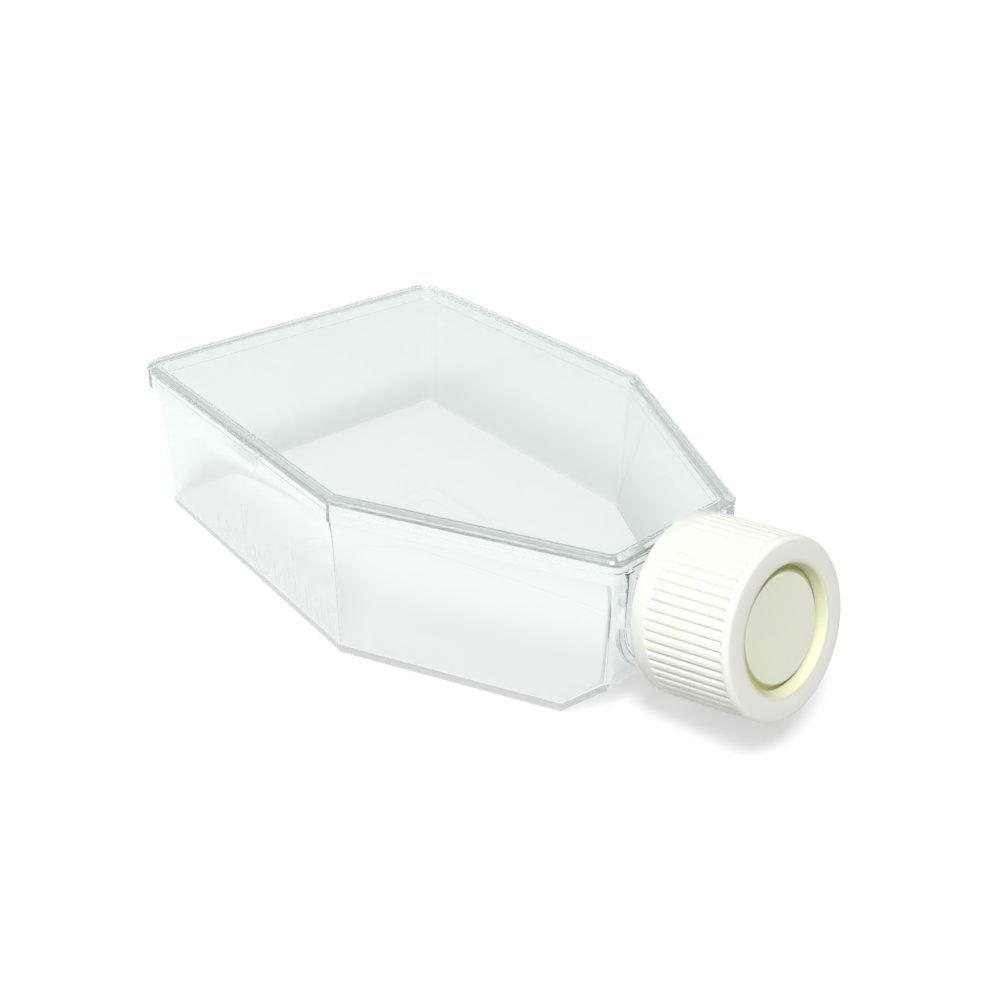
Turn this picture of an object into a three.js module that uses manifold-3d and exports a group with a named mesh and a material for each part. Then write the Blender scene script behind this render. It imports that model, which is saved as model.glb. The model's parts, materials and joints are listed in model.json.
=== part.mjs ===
// A 75 cm2 cell culture flask lying on its growth surface: a clear moulded tray with a canted, threaded neck,
// a flat top plate welded onto the tray's rim, and a two-piece screw cap (ribbed shell and free-turning seal).
// Millimetres, +Z up, +X from the flask's rear end towards the cap, origin at the centre of the flat underside.

import * as THREE from 'three';
import { mergeVertices } from 'three/addons/utils/BufferGeometryUtils.js';
import Module from 'manifold-3d';

const wasm = await Module();
wasm.setup();

// ---------------------------------------------------------------------------------------------- driving dimensions

// The rim, which is the outline of the top plate: a rectangle with two oblique shoulders that narrow to the neck.
const RIM_WIDTH = 84;
const SIDE_LENGTH = 78;
const SHOULDER_LENGTH = 48.1;
const HEIGHT = 36.5;
const PLATE_THICKNESS = 1.0;

// The tray.
const WALL = 1.3;
const FLOOR = 1.3;
const WALL_INSET = 1.2; // from the rim's outline to the wall's outer face, below the flare
const WALL_DRAFT = 0.2; // further inset at the floor
const FLANGE_DEPTH = 3.9; // height of the rim's outer band, under the plate
const FLANGE_LIP_DEPTH = 1.3; // the upper stretch of that band, which is set back a little
const FLANGE_LIP_SETBACK = 0.15;
const FLANGE_LEDGE = 0.4; // width of the ledge under the band
const FLARE_HEIGHT = 7.1; // the curved stretch between the ledge and the plain wall
const BASE_EDGE_RADIUS = 0.7;
const FLOOR_FILLET = 1.6; // inside, between floor and walls
const REAR_CORNER_RADIUS = { rim: 5, wall: 4.5 };
const SHOULDER_CORNER_RADIUS = { rim: 1.6, wall: 1.4 };
const FRONT_CORNER_RADIUS = { rim: 2.6, wall: 1.4 };
const RAMP_RUN = 7.6; // the sloping stretch of floor in front of the neck, measured along X
const RAMP_TO_NECK = 1.1; // plain front wall left between the ramp and the neck
const SHARPEST_CORNER = 0.3; // least radius of an inner corner

// The top plate.
const BORDER_WIDTH = 1.3; // raised border round the plate's upper face, for stacking
const BORDER_HEIGHT = 0.3;
const LOCATING_DEPTH = 0.5; // panel on the plate's underside that drops into the tray's mouth
const LOCATING_CLEARANCE = 0.35;
const PLATE_CHAMFER = 0.25; // along the plate's upper edge

// The neck.
const NECK_PITCH = THREE.MathUtils.degToRad(15.8);
const NECK_RADIUS = 12.5;
const NECK_WALL = 1.5;
const MOUTH_BEVEL = 0.6;
const ROOT_PAD = { margin: 1.5, thickness: 1.0 }; // raised pad round the neck's root, on the front wall
const WEB = { width: 1.9, depth: 2.1, below: 0.4 }; // upright webs beside the neck, from the rim down past its axis
const FRONT_MARGIN = 1.1; // front wall left at each side of the webs
const NECK_TO_PLATE = 0.12;

// The neck's thread: one start, right-handed.
const THREAD_PITCH = 4;
const THREAD_TURNS = 1.6;
const THREAD_DEPTH = 1.0;
const THREAD_BASE = 2.0;
const THREAD_CREST = 0.8;
const THREAD_RUN_OUT = 1 / 6; // turns over which each end tapers away
const THREAD_CLEARANCE = 0.4; // from the crest to the cap's bore
const THREAD_TO_MOUTH = 1.8;

// The cap shell.
const CAP_LENGTH = 19.3;
const CAP_WALL = 1.65; // at the closed end
const CAP_TAPER = 0.95; // the open end's extra radius
const CAP_TOP = 2.0;
const CAP_EDGE_RADIUS = 0.9;
const CAP_RIM_BEVEL = 0.5;
const CAP_COLLAR = 3.0; // plain band at the open end
const CAP_COUNTERBORE = 0.9; // the collar's extra inner radius
const CAP_TO_RIM = 0.8; // gap between the closed cap and the flask's rim
const CAP_LEDGE = 2.85; // how far the face ring reaches in over the seal
const WINDOW_SLOPE = 0.5; // the window narrows by this much with depth
const RIB_COUNT = 58;
const RIB_GROOVE_DEPTH = 0.5;

// The seal under the cap's face ring.
const RUNNING_GAP = 0.3; // between pieces that turn or lie against each other round the neck axis
const SEAL_FLANGE = 1.3;
const SEAL_EDGE_CLEARANCE = 0.4;
const SEAL_BEVEL = 0.4;
const DISC_SINK = 1.1; // the centre disc's face, below the cap's face
const DISC_GROOVE = 1.65; // open ring between the disc and the window's edge
const PLUG_LENGTH = 3.2;
const PLUG_WALL = 1.1;
const PLUG_CLEARANCE = 0.35;

// Facets.
const CORNER_SEGMENTS = { rear: 8, shoulder: 3, front: 5 };
const NECK_SEGMENTS = 64;
const CAP_SEGMENTS = RIB_COUNT;
const FILLET_STEPS = 3;
const FLARE_STEPS = 4;
const THREAD_STEPS_PER_TURN = 36;

const OVERLAP = 0.3; // how far one shape is sunk into another that it is joined to
const OVERCUT = 5; // how far a cutting shape runs past what it cuts

// ----------------------------------------------------------------------------------------------- worked-out places

const RIM_LENGTH = SIDE_LENGTH + SHOULDER_LENGTH;
const LAND = HEIGHT - PLATE_THICKNESS; // the tray's flat upper face, which the plate is welded to
const FLANGE_BOTTOM = LAND - FLANGE_DEPTH;
const FLARE_BOTTOM = FLANGE_BOTTOM - FLARE_HEIGHT;
const CAVITY_INSET = WALL_INSET + WALL;

const BORE_RADIUS = NECK_RADIUS - NECK_WALL;
const ROOT_RADIUS = NECK_RADIUS + ROOT_PAD.margin;
const FRONT_WALL_WIDTH = 2 * (ROOT_RADIUS + FRONT_MARGIN);
const FRONT_WALL_X = RIM_LENGTH - WALL_INSET - WALL_DRAFT / 2;
const FRONT_WIDTH = frontRimWidth();

// The neck axis crosses the plane of the rim's front edge at this height, so that the neck passes under the plate.
const AXIS_HEIGHT = LAND - NECK_TO_PLATE - NECK_RADIUS / Math.cos(NECK_PITCH);
const AXIS_HEIGHT_AT_WALL = AXIS_HEIGHT - (RIM_LENGTH - FRONT_WALL_X) * Math.tan(NECK_PITCH);
const RAMP_RISE = AXIS_HEIGHT_AT_WALL - NECK_RADIUS / Math.cos(NECK_PITCH) - RAMP_TO_NECK;
const RAMP_START_X = FRONT_WALL_X - RAMP_RUN;

// Stations along the neck axis, counted from the plane of the rim's front edge.
const CAP_OPEN = (HEIGHT - AXIS_HEIGHT) * Math.sin(NECK_PITCH) + CAP_TO_RIM * Math.cos(NECK_PITCH);
const CAP_FACE = CAP_OPEN + CAP_LENGTH;
const CAP_CEILING = CAP_FACE - CAP_TOP;
const SEAL_TOP = CAP_CEILING - RUNNING_GAP;
const SEAL_BOTTOM = SEAL_TOP - SEAL_FLANGE;
const MOUTH = SEAL_BOTTOM - RUNNING_GAP;
const THREAD_TOP = MOUTH - THREAD_TO_MOUTH;

const CAP_BORE = NECK_RADIUS + THREAD_DEPTH + THREAD_CLEARANCE;
const CAP_RADIUS = CAP_BORE + CAP_WALL;
const WINDOW_RADIUS = CAP_BORE - CAP_LEDGE;
const DISC_RADIUS = WINDOW_RADIUS - DISC_GROOVE;

// The origin lies at the middle of the flat underside.
const REAR_WALL_X = WALL_INSET + WALL_DRAFT;
const ORIGIN_X = (REAR_WALL_X + BASE_EDGE_RADIUS + RAMP_START_X) / 2;

// The front edge of the rim is wide enough for the front wall, which lies inside it by the wall's inset.
function frontRimWidth() {
	const rise = (RIM_WIDTH - FRONT_WALL_WIDTH) / 2;
	const halfTurn = Math.atan2(rise, SHOULDER_LENGTH) / 2;
	return FRONT_WALL_WIDTH + 2 * (WALL_INSET + WALL_DRAFT / 2) * Math.tan(Math.PI / 4 - halfTurn);
}

// ------------------------------------------------------------------------------------------------- solid modelling

// Joins a stack of rings, each with the same number of points in the same order, into one closed skin.
function loft(rings) {
	const count = rings[0].length;
	const positions = rings.flat().flatMap((p) => [p.x, p.y, p.z]);
	const index = [];
	for (let ring = 0; ring < rings.length - 1; ring++) {
		for (let i = 0; i < count; i++) {
			const a = ring * count + i;
			const b = ring * count + ((i + 1) % count);
			index.push(a, b, b + count);
			index.push(a, b + count, a + count);
		}
	}
	const last = (rings.length - 1) * count;
	for (let i = 1; i < count - 1; i++) {
		index.push(0, i + 1, i);
		index.push(last, last + i, last + i + 1);
	}
	const geometry = new THREE.BufferGeometry();
	geometry.setAttribute('position', new THREE.Float32BufferAttribute(positions, 3));
	geometry.setIndex(index);
	return geometry;
}

function toSolid(geometry) {
	const bare = geometry.clone();
	bare.deleteAttribute('normal');
	bare.deleteAttribute('uv');
	const merged = mergeVertices(bare, 1e-5);
	return new wasm.Manifold(
		new wasm.Mesh({
			numProp: 3,
			vertProperties: new Float32Array(merged.attributes.position.array),
			triVerts: new Uint32Array(merged.index.array),
		}),
	);
}

function toGeometry(solid) {
	const { vertProperties, triVerts } = solid.getMesh();
	const geometry = new THREE.BufferGeometry();
	geometry.setAttribute('position', new THREE.BufferAttribute(vertProperties, 3));
	geometry.setIndex(new THREE.BufferAttribute(triVerts, 1));
	geometry.computeVertexNormals();
	return geometry;
}

const joined = (...solids) => solids.reduce((whole, next) => whole.add(next));
const cut = (solid, ...tools) => tools.reduce((left, tool) => left.subtract(tool), solid);

// A lathe turned about +Z from [radius, z] pairs. The profile starts and ends on the axis, or closes on itself.
function turned(profile, segments) {
	const lathe = new THREE.LatheGeometry(profile.map(([r, z]) => new THREE.Vector2(r, z)), segments);
	return toSolid(lathe.rotateX(Math.PI / 2));
}

// A prism along Y, between two places there, from an outline of [x, z] pairs.
function prismAcross(points, low, high) {
	const outline = new THREE.Shape(points.map(([x, z]) => new THREE.Vector2(x, z)));
	const prism = new THREE.ExtrudeGeometry(outline, { depth: high - low, bevelEnabled: false });
	return toSolid(prism.rotateX(Math.PI / 2).translate(0, high, 0));
}

// Carries a shape from the neck's own frame (+Z along the neck axis, from the rim's front plane) into the flask's.
const neckFrame = new THREE.Matrix4()
	.makeTranslation(RIM_LENGTH, 0, AXIS_HEIGHT)
	.multiply(new THREE.Matrix4().makeRotationY(Math.PI / 2 - NECK_PITCH));

function inNeckFrame(solid) {
	return solid.transform(neckFrame.elements);
}

// ---------------------------------------------------------------------------------------------------- plan outline

// Replaces a corner of a polygon by an arc of the given radius.
function roundCorner(before, corner, after, radius, segments) {
	const towardsBefore = before.clone().sub(corner).normalize();
	const towardsAfter = after.clone().sub(corner).normalize();
	const halfAngle = Math.acos(towardsBefore.dot(towardsAfter)) / 2;
	const centre = towardsBefore.clone().add(towardsAfter).setLength(radius / Math.sin(halfAngle)).add(corner);
	const first = towardsBefore.clone().multiplyScalar(radius / Math.tan(halfAngle)).add(corner).sub(centre);
	const sweep = Math.PI - 2 * halfAngle;
	const turn = Math.sign(towardsAfter.cross(towardsBefore));
	const points = [];
	for (let i = 0; i <= segments; i++) {
		points.push(first.clone().rotateAround(new THREE.Vector2(), (turn * sweep * i) / segments).add(centre));
	}
	return points;
}

// The flask's plan at one level: the rim's polygon moved in by inset, with its corners rounded.
function planRing(z, inset, radii) {
	const shoulder = new THREE.Vector2(SHOULDER_LENGTH, (RIM_WIDTH - FRONT_WIDTH) / 2);
	const half = Math.atan2(shoulder.y, shoulder.x) / 2;
	const rearX = inset;
	const sideY = RIM_WIDTH / 2 - inset;
	const shoulderX = SIDE_LENGTH - inset * Math.tan(half);
	const frontX = RIM_LENGTH - inset;
	const frontY = FRONT_WIDTH / 2 - inset * Math.tan(Math.PI / 4 - half);
	const corners = [
		{ at: [rearX, -sideY], radius: radii.rear, segments: CORNER_SEGMENTS.rear },
		{ at: [shoulderX, -sideY], radius: radii.shoulder, segments: CORNER_SEGMENTS.shoulder },
		{ at: [frontX, -frontY], radius: radii.front, segments: CORNER_SEGMENTS.front },
		{ at: [frontX, frontY], radius: radii.front, segments: CORNER_SEGMENTS.front },
		{ at: [shoulderX, sideY], radius: radii.shoulder, segments: CORNER_SEGMENTS.shoulder },
		{ at: [rearX, sideY], radius: radii.rear, segments: CORNER_SEGMENTS.rear },
	];
	const points = corners.map((corner) => new THREE.Vector2(...corner.at));
	return corners.flatMap((corner, i) => {
		const before = points.at(i - 1);
		const after = points[(i + 1) % points.length];
		const arc = roundCorner(before, points[i], after, corner.radius, corner.segments);
		return arc.map((p) => new THREE.Vector3(p.x, p.y, z));
	});
}

// Corner radii between the wall's (mix 0) and the rim's (mix 1), less what an inner face gives up.
function cornerRadii(mix, less = 0) {
	const blend = ({ rim, wall }) => Math.max(THREE.MathUtils.lerp(wall, rim, mix) - less, SHARPEST_CORNER);
	return {
		rear: blend(REAR_CORNER_RADIUS),
		shoulder: blend(SHOULDER_CORNER_RADIUS),
		front: blend(FRONT_CORNER_RADIUS),
	};
}

// The plain wall's outer inset at a height: it leans in towards the floor by the draft.
function wallInset(z) {
	return WALL_INSET + WALL_DRAFT * (1 - z / FLARE_BOTTOM);
}

// ------------------------------------------------------------------------------------------------------- the tray

function trayOutside() {
	const rings = [];
	for (let i = 0; i <= FILLET_STEPS; i++) {
		const angle = (i / FILLET_STEPS) * (Math.PI / 2);
		const z = BASE_EDGE_RADIUS * (1 - Math.cos(angle));
		const tuck = BASE_EDGE_RADIUS * (1 - Math.sin(angle));
		rings.push(planRing(z, wallInset(z) + tuck, cornerRadii(0, tuck)));
	}
	for (let i = 0; i <= FLARE_STEPS; i++) {
		const t = i / FLARE_STEPS;
		const inset = WALL_INSET - (WALL_INSET - FLANGE_LEDGE) * t * t;
		rings.push(planRing(FLARE_BOTTOM + FLARE_HEIGHT * t, inset, cornerRadii(t * t)));
	}
	const lipBottom = LAND - FLANGE_LIP_DEPTH;
	const rim = cornerRadii(1);
	rings.push(planRing(FLANGE_BOTTOM, 0, rim));
	rings.push(planRing(lipBottom, 0, rim));
	rings.push(planRing(lipBottom, FLANGE_LIP_SETBACK, rim));
	rings.push(planRing(LAND, FLANGE_LIP_SETBACK, rim));
	return toSolid(loft(rings));
}

function trayInside() {
	const radii = cornerRadii(0, WALL);
	const rings = [];
	for (let i = 0; i <= FILLET_STEPS; i++) {
		const angle = (i / FILLET_STEPS) * (Math.PI / 2);
		const z = FLOOR + FLOOR_FILLET * (1 - Math.cos(angle));
		const tuck = FLOOR_FILLET * (1 - Math.sin(angle));
		rings.push(planRing(z, wallInset(z) + WALL + tuck, cornerRadii(0, WALL + tuck)));
	}
	rings.push(planRing(FLARE_BOTTOM, CAVITY_INSET, radii));
	rings.push(planRing(HEIGHT, CAVITY_INSET, radii));
	return cut(toSolid(loft(rings)), underRamp(FLOOR / Math.cos(Math.atan2(RAMP_RISE, RAMP_RUN))));
}

// What lies under the ramp, whose surface is lifted by the given height.
function underRamp(lift) {
	const slope = RAMP_RISE / RAMP_RUN;
	const reach = RAMP_RUN + OVERCUT;
	return prismAcross(
		[
			[RAMP_START_X - (OVERCUT + lift) / slope, -OVERCUT],
			[RAMP_START_X + reach, -OVERCUT],
			[RAMP_START_X + reach, reach * slope + lift],
		],
		-RIM_WIDTH / 2,
		RIM_WIDTH / 2,
	);
}

function box(low, high) {
	const size = high.map((v, i) => v - low[i]);
	const middle = high.map((v, i) => (v + low[i]) / 2);
	return toSolid(new THREE.BoxGeometry(...size).translate(...middle));
}

// A round pad on the front wall where the neck leaves it, seen along X as the neck's own outline and a margin.
function rootPad() {
	const pad = new THREE.CylinderGeometry(ROOT_RADIUS, ROOT_RADIUS, ROOT_PAD.thickness + WALL, NECK_SEGMENTS);
	const squash = 1 / Math.cos(NECK_PITCH);
	const middleX = FRONT_WALL_X + (ROOT_PAD.thickness - WALL) / 2;
	pad.rotateZ(Math.PI / 2).scale(1, 1, squash).translate(middleX, 0, AXIS_HEIGHT_AT_WALL);
	const belowWall = box([0, -RIM_WIDTH, -HEIGHT], [RIM_LENGTH + OVERCUT, RIM_WIDTH, RAMP_RISE]);
	const overLand = box([0, -RIM_WIDTH, LAND], [RIM_LENGTH + OVERCUT, RIM_WIDTH, 2 * HEIGHT]);
	return cut(toSolid(pad), belowWall, overLand);
}

// One upright web between the neck's side and the rim, flush with the root pad. Its foot runs along the neck.
function web(side) {
	const inner = ROOT_RADIUS - WEB.width;
	const [low, high] = side > 0 ? [inner, ROOT_RADIUS] : [-ROOT_RADIUS, -inner];
	const back = FRONT_WALL_X - WALL / 2;
	const front = FRONT_WALL_X + WEB.depth;
	const top = LAND - FLANGE_LIP_DEPTH;
	const footAt = (x) => AXIS_HEIGHT + (x - RIM_LENGTH) * Math.tan(NECK_PITCH) - WEB.below;
	const outline = [
		[back, footAt(back)],
		[front, footAt(front)],
		[front, top],
		[back, top],
	];
	return prismAcross(outline, low, high);
}

// -------------------------------------------------------------------------------------------------------- thread

// The ridge round the neck, in the neck's frame: a trapezoid section along a helix that ends near the mouth.
// It starts and ends in a taper, so that it can be entered.
function threadRidge() {
	const root = NECK_RADIUS - OVERLAP;
	const steps = Math.round(THREAD_TURNS * THREAD_STEPS_PER_TURN);
	const taperSteps = THREAD_RUN_OUT * THREAD_STEPS_PER_TURN;
	const sections = [];
	for (let i = 0; i <= steps; i++) {
		const turn = i / THREAD_STEPS_PER_TURN - THREAD_TURNS;
		const angle = 2 * Math.PI * turn;
		const z = THREAD_TOP + turn * THREAD_PITCH;
		const full = Math.min(1, (i + 1) / taperSteps, (steps - i + 1) / taperSteps);
		const tip = NECK_RADIUS + THREAD_DEPTH * full;
		const section = [
			[root, -THREAD_BASE / 2],
			[tip, -THREAD_CREST / 2],
			[tip, THREAD_CREST / 2],
			[root, THREAD_BASE / 2],
		];
		sections.push(section.map(([r, dz]) => new THREE.Vector3(r * Math.cos(angle), r * Math.sin(angle), z + dz)));
	}
	return toSolid(loft(sections));
}

// --------------------------------------------------------------------------------------------------------- pieces

function flaskBody() {
	const insideWall = -(RIM_LENGTH - FRONT_WALL_X) - NECK_RADIUS * Math.tan(NECK_PITCH) - WALL;
	const barrel = turned(
		[
			[0, insideWall],
			[NECK_RADIUS, insideWall],
			[NECK_RADIUS, MOUTH - MOUTH_BEVEL],
			[NECK_RADIUS - MOUTH_BEVEL / 2, MOUTH],
			[0, MOUTH],
		],
		NECK_SEGMENTS,
	);
	const bore = turned(
		[
			[0, insideWall - OVERCUT],
			[BORE_RADIUS, insideWall - OVERCUT],
			[BORE_RADIUS, MOUTH + OVERCUT],
			[0, MOUTH + OVERCUT],
		],
		NECK_SEGMENTS,
	);
	const neck = inNeckFrame(joined(barrel, threadRidge()));
	const outside = joined(cut(trayOutside(), underRamp(0)), rootPad(), web(-1), web(1), neck);
	return cut(outside, trayInside(), inNeckFrame(bore));
}

function topPlate() {
	const rim = cornerRadii(1);
	const borderInner = { ...rim, rear: rim.rear - BORDER_WIDTH / 2 };
	const blank = toSolid(
		loft([
			planRing(LAND, 0, rim),
			planRing(HEIGHT - PLATE_CHAMFER, 0, rim),
			planRing(HEIGHT, PLATE_CHAMFER, rim),
		]),
	);
	const panel = toSolid(
		loft([
			planRing(HEIGHT - BORDER_HEIGHT, BORDER_WIDTH, borderInner),
			planRing(HEIGHT + OVERCUT, BORDER_WIDTH, borderInner),
		]),
	);
	const locatingInset = CAVITY_INSET + LOCATING_CLEARANCE;
	const locating = toSolid(
		loft([
			planRing(LAND - LOCATING_DEPTH, locatingInset, cornerRadii(0, WALL)),
			planRing(LAND + OVERLAP, locatingInset, cornerRadii(0, WALL)),
		]),
	);
	return joined(cut(blank, panel), locating);
}

function screwCap() {
	const rimRadius = CAP_RADIUS + CAP_TAPER;
	const edge = [];
	for (let i = 0; i <= FILLET_STEPS; i++) {
		const angle = (i / FILLET_STEPS) * (Math.PI / 2);
		const r = CAP_RADIUS - CAP_EDGE_RADIUS * (1 - Math.cos(angle));
		edge.push([r, CAP_FACE - CAP_EDGE_RADIUS * (1 - Math.sin(angle))]);
	}
	const profile = [
		[rimRadius - CAP_RIM_BEVEL / 2, CAP_OPEN],
		[rimRadius, CAP_OPEN + CAP_RIM_BEVEL],
		...edge,
		[WINDOW_RADIUS, CAP_FACE],
		[WINDOW_RADIUS - WINDOW_SLOPE, CAP_CEILING],
		[CAP_BORE, CAP_CEILING],
		[CAP_BORE, CAP_OPEN + CAP_COLLAR],
		[CAP_BORE + CAP_COUNTERBORE, CAP_OPEN + CAP_COLLAR - CAP_COUNTERBORE],
		[CAP_BORE + CAP_COUNTERBORE, CAP_OPEN],
		[rimRadius - CAP_RIM_BEVEL / 2, CAP_OPEN],
	];
	return cut(turned(profile, CAP_SEGMENTS), ...ribGrooves());
}

// The V-shaped grooves between the cap's ribs, each a square bar sunk edgeways into the tapering side.
function ribGrooves() {
	const from = new THREE.Vector2(CAP_RADIUS + CAP_TAPER * taperAt(CAP_OPEN + CAP_COLLAR), CAP_OPEN + CAP_COLLAR);
	const to = new THREE.Vector2(CAP_RADIUS, CAP_FACE - CAP_EDGE_RADIUS);
	const lean = Math.atan2(from.x - to.x, to.y - from.y);
	const length = from.distanceTo(to);
	const grooves = [];
	for (let i = 0; i < RIB_COUNT; i++) {
		const bar = new THREE.CylinderGeometry(RIB_GROOVE_DEPTH, RIB_GROOVE_DEPTH, length, 4);
		bar.rotateX(Math.PI / 2).rotateY(-lean).translate((from.x + to.x) / 2, 0, (from.y + to.y) / 2);
		bar.rotateZ((2 * Math.PI * (i + 0.5)) / RIB_COUNT);
		grooves.push(toSolid(bar));
	}
	return grooves;
}

// How much of the taper is left at a station: 1 at the cap's open end, 0 where its edge starts to round.
function taperAt(station) {
	return (CAP_FACE - CAP_EDGE_RADIUS - station) / (CAP_LENGTH - CAP_EDGE_RADIUS);
}

function capSeal() {
	const flangeRadius = CAP_BORE - SEAL_EDGE_CLEARANCE;
	const discTop = CAP_FACE - DISC_SINK;
	const plugRadius = BORE_RADIUS - PLUG_CLEARANCE;
	const plugEnd = SEAL_BOTTOM - PLUG_LENGTH;
	return turned(
		[
			[0, SEAL_BOTTOM],
			[plugRadius - PLUG_WALL, SEAL_BOTTOM],
			[plugRadius - PLUG_WALL, plugEnd],
			[plugRadius - SEAL_BEVEL, plugEnd],
			[plugRadius, plugEnd + SEAL_BEVEL],
			[plugRadius, SEAL_BOTTOM],
			[flangeRadius, SEAL_BOTTOM],
			[flangeRadius, SEAL_TOP],
			[DISC_RADIUS, SEAL_TOP],
			[DISC_RADIUS, discTop - SEAL_BEVEL],
			[DISC_RADIUS - SEAL_BEVEL, discTop],
			[0, discTop],
		],
		NECK_SEGMENTS,
	);
}

// ------------------------------------------------------------------------------------------------------- assembly

const clearPlastic = new THREE.MeshStandardMaterial({
	color: 0xe4f1ee,
	roughness: 0.05,
	metalness: 0,
	transparent: true,
	opacity: 0.35,
});
const ivoryPlastic = new THREE.MeshStandardMaterial({ color: 0xf1f0e2, roughness: 0.45, metalness: 0 });
const sealPlastic = new THREE.MeshStandardMaterial({ color: 0xe0e2cf, roughness: 0.4, metalness: 0 });

function piece(name, solid, material) {
	const mesh = new THREE.Mesh(toGeometry(solid), material);
	mesh.name = name;
	return mesh;
}

const cap = new THREE.Group();
neckFrame.decompose(cap.position, cap.quaternion, cap.scale);
cap.add(piece('screw_cap', screwCap(), ivoryPlastic));
cap.add(piece('cap_seal', capSeal(), sealPlastic));

const group = new THREE.Group();
group.add(piece('flask_body', flaskBody(), clearPlastic));
group.add(piece('top_plate', topPlate(), clearPlastic));
group.add(cap);
group.position.x = -ORIGIN_X;

export default group;
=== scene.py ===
"""A 75 cm2 cell culture flask lying on its growth surface, in a plain pale studio.

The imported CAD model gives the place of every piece. Each of its four nodes is replaced by a finer mesh of the
same piece: the clear body with its neck, the welded top plate, the ribbed cap and the seal behind the cap's
window. Lengths are in millimetres until a mesh is made, which turns them into metres.
"""

import functools
import json
import math

import bmesh
import bpy
from mathutils import Matrix, Vector


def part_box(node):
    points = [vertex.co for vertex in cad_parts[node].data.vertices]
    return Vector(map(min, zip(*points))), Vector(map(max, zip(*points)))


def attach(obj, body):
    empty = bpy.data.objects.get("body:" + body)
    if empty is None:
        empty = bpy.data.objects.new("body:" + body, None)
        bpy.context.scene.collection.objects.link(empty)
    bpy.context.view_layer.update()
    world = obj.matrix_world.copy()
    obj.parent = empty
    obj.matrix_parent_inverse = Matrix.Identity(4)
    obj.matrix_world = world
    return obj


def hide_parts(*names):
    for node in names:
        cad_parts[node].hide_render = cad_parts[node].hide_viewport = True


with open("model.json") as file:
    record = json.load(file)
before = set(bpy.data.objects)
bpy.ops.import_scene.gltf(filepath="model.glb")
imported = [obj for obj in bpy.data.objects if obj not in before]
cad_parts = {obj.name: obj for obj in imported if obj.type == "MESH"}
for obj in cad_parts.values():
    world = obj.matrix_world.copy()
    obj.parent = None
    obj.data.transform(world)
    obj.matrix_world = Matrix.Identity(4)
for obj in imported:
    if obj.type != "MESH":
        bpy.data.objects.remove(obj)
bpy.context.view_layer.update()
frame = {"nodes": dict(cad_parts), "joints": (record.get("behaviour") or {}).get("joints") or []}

MM = 0.001

# ------------------------------------------------------------------------------------ places in the frame


def box_mm(node):
    low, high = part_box(node)
    return low / MM, high / MM


PLATE_LOW, PLATE_HIGH = box_mm("top_plate")
TURN = next(joint for joint in frame["joints"] if joint["name"] == "cap_turn")
NECK_AXIS = Vector(TURN["axis"]).normalized()
NECK_POINT = Vector(TURN["pos_m"]) / MM
NECK_PITCH = math.asin(NECK_AXIS.z)

# The neck's own frame: +Z along the neck axis away from the flask, +X down towards the ground.
NECK_SIDE = Vector((0, 1, 0))
NECK_DOWN = NECK_SIDE.cross(NECK_AXIS)
NECK_TURN = Matrix((NECK_DOWN, NECK_SIDE, NECK_AXIS)).transposed().to_4x4()
NECK_FRAME = Matrix.Translation(NECK_POINT) @ NECK_TURN


def reach_mm(node):
    """(lowest station along the neck axis, highest station, largest radius about it) of a CAD node."""
    to_neck = NECK_FRAME.inverted()
    points = [to_neck @ (v.co / MM) for v in frame["nodes"][node].data.vertices]
    stations = [p.z for p in points]
    return min(stations), max(stations), max(p.xy.length for p in points)


CAP_OPEN, CAP_FACE, CAP_RIM_RADIUS = reach_mm("screw_cap")
DISC_FACE, SEAL_RADIUS = reach_mm("cap_seal")[1:]
MOUTH = reach_mm("flask_body")[1]

# --------------------------------------------------------------------------------------------- dimensions

# The rim: the top plate's outline.
REAR_X = PLATE_LOW.x
FRONT_X = PLATE_HIGH.x
RIM_WIDTH = PLATE_HIGH.y - PLATE_LOW.y
HEIGHT = PLATE_HIGH.z
SIDE_LENGTH = 78.0  # from the rear to the shoulders
FRONT_WIDTH = 31.72

# The body.
WALL = 1.3
FLOOR = 1.3
WALL_INSET = 1.2  # from the rim's outline to the wall's outer face, below the flare
WALL_DRAFT = 0.2  # further inset at the ground
FLANGE_DEPTH = 3.9  # height of the rim's outer band, under the plate
FLANGE_EDGE_RADIUS = 0.2
LIP_DEPTH = 1.3  # the upper stretch of that band, which is set back a little
LIP_SETBACK = 0.15
FLANGE_LEDGE = 0.4  # width of the ledge under the band
FLARE_HEIGHT = 7.1  # the curved stretch between the ledge and the plain wall
BASE_EDGE_RADIUS = 0.7
FLOOR_FILLET = 0.5
CAVITY_EDGE_RADIUS = 0.3
REAR_CORNER = {"rim": 5.0, "wall": 4.5}
SHOULDER_CORNER = {"rim": 1.6, "wall": 0.5}
FRONT_CORNER = {"rim": 2.6, "wall": 0.5}
CAVITY_CORNER = {"rear": 3.2, "shoulder": 0.6, "front": 1.5}
CAVITY_SHOULDER_BACK = 0.6  # how far the cavity's shoulders start behind the outside's
SHARPEST_CORNER = 0.3
RAMP_RUN = 7.6  # the sloping stretch of floor in front of the neck, measured along X
RAMP_RISE = 7.93
RAMP_EDGE = 0.2  # height over which the ramp turns into the front wall

# The top plate.
PLATE_THICKNESS = 1.0
PLATE_GAP = 0.03  # over the land: two clear faces in one plane would show as noise
PLATE_FOOT = 0.06  # rounding of the plate's lower edge
PLATE_EDGE = 0.3  # chamfer of its upper edge
BORDER_WIDTH = 1.3  # raised border round the plate's upper face, for stacking
BORDER_STEP = 0.2
BORDER_SLOPE_RUN = 1.5  # width of the soft slope from the border down to the face
LOCATING_DEPTH = 0.5  # the panel that drops into the tray's mouth
LOCATING_CLEARANCE = 0.35
LOCATING_EDGE_RADIUS = 0.3

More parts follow.
